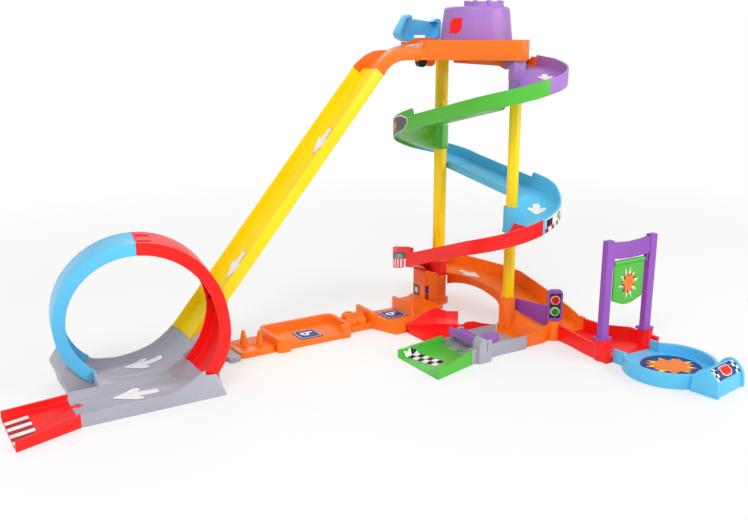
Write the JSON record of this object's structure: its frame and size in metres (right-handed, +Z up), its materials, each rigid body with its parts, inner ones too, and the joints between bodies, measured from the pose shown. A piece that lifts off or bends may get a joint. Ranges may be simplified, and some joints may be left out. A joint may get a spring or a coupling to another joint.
{
  "type": "toy car loop ramp",
  "caption": "Toy car track: two-post spiral tower, steep ramp into a vertical loop, parking bays, traffic-light switch, flag gate and round catcher.",
  "frame": {"origin": "on the floor, at the axis of the tower's right column", "axes": "+X along the strip from the loop towards the gate, +Y to the back, +Z up"},
  "size_m": [0.933, 0.6625, 0.5351],
  "materials": {
    "orange_plastic": "gloss",
    "yellow_plastic": "gloss",
    "red_plastic": "gloss",
    "blue_plastic": "gloss",
    "purple_plastic": "gloss",
    "lilac_plastic": "gloss",
    "green_plastic": "gloss",
    "grey_plastic": "gloss",
    "black_plastic": "matte",
    "label": "satin",
    "steel": "brushed"
  },
  "bodies": {
    "root": {"tower_base": "orange_plastic", "red_helix": "red_plastic", "blue_helix": "blue_plastic", "green_helix": "green_plastic", "purple_turn": "purple_plastic", "left_short_post": "yellow_plastic", "left_long_post": "yellow_plastic", "right_long_post": "yellow_plastic", "right_short_post": "yellow_plastic", "top_platform": "orange_plastic", "launch_drum": "purple_plastic", "drum_badge": "red_plastic", "drum_screws": "steel", "cradle_pin": "steel", "trip_wheel": "black_plastic", "ramp_head": "orange_plastic", "spiral_head": "orange_plastic", "ramp_upper": "yellow_plastic", "ramp_lower": "yellow_plastic", "loop_base": "grey_plastic", "loop_half_blue": "blue_plastic", "loop_half_red": "red_plastic", "loop_exit_ramp": "red_plastic", "link_stub": "grey_plastic", "cone_plate": "orange_plastic", "traffic_cones": "orange_plastic", "parking_bay_1": "orange_plastic", "parking_bay_2": "orange_plastic", "tyre_mounds": "orange_plastic", "parking_sign_1": "label", "parking_sign_2": "label", "curve_track": "red_plastic", "junction_track": "grey_plastic", "stop_gate_pin": "steel", "green_exit_ramp": "green_plastic", "gate_track": "red_plastic", "gate_frame": "purple_plastic", "flag_rod": "steel", "catcher_dish": "blue_plastic", "catcher_inlay": "label"},
    "dial": {"drum_dial": "lilac_plastic"},
    "cradle": {"launch_cradle": "blue_plastic"},
    "rocker": {"stop_gate": "lilac_plastic"},
    "diverter": {"diverter_arm": "purple_plastic", "signal_head": "purple_plastic", "signal_face": "black_plastic", "signal_lamp_red": "red_plastic", "signal_lamp_green": "green_plastic"},
    "flag": {"gate_flag": "green_plastic"}
  },
  "joints": [
    {"name": "dial_turn", "type": "hinge", "parent": "root", "child": "dial", "pos_m": [0.0087, 0.089, 0.5255], "axis": [0, 0, 1], "continuous": true},
    {"name": "cradle_tip", "type": "hinge", "parent": "root", "child": "cradle", "pos_m": [-0.049, 0.174, 0.472], "axis": [1, 0, 0], "range_deg": [0, 30]},
    {"name": "stop_gate_rock", "type": "hinge", "parent": "root", "child": "rocker", "pos_m": [-0.1035, -0.0525, 0.024], "axis": [0, 1, 0], "range_deg": [-8, 24]},
    {"name": "diverter_swing", "type": "hinge", "parent": "root", "child": "diverter", "pos_m": [0.0394, -0.0784, 0], "axis": [0, 0, 1], "range_deg": [-30, 0]},
    {"name": "flag_swing", "type": "hinge", "parent": "root", "child": "flag", "pos_m": [0.0845, -0.185, 0.15], "axis": [1, 0, 0], "range_deg": [-75, 75]}
  ]
}
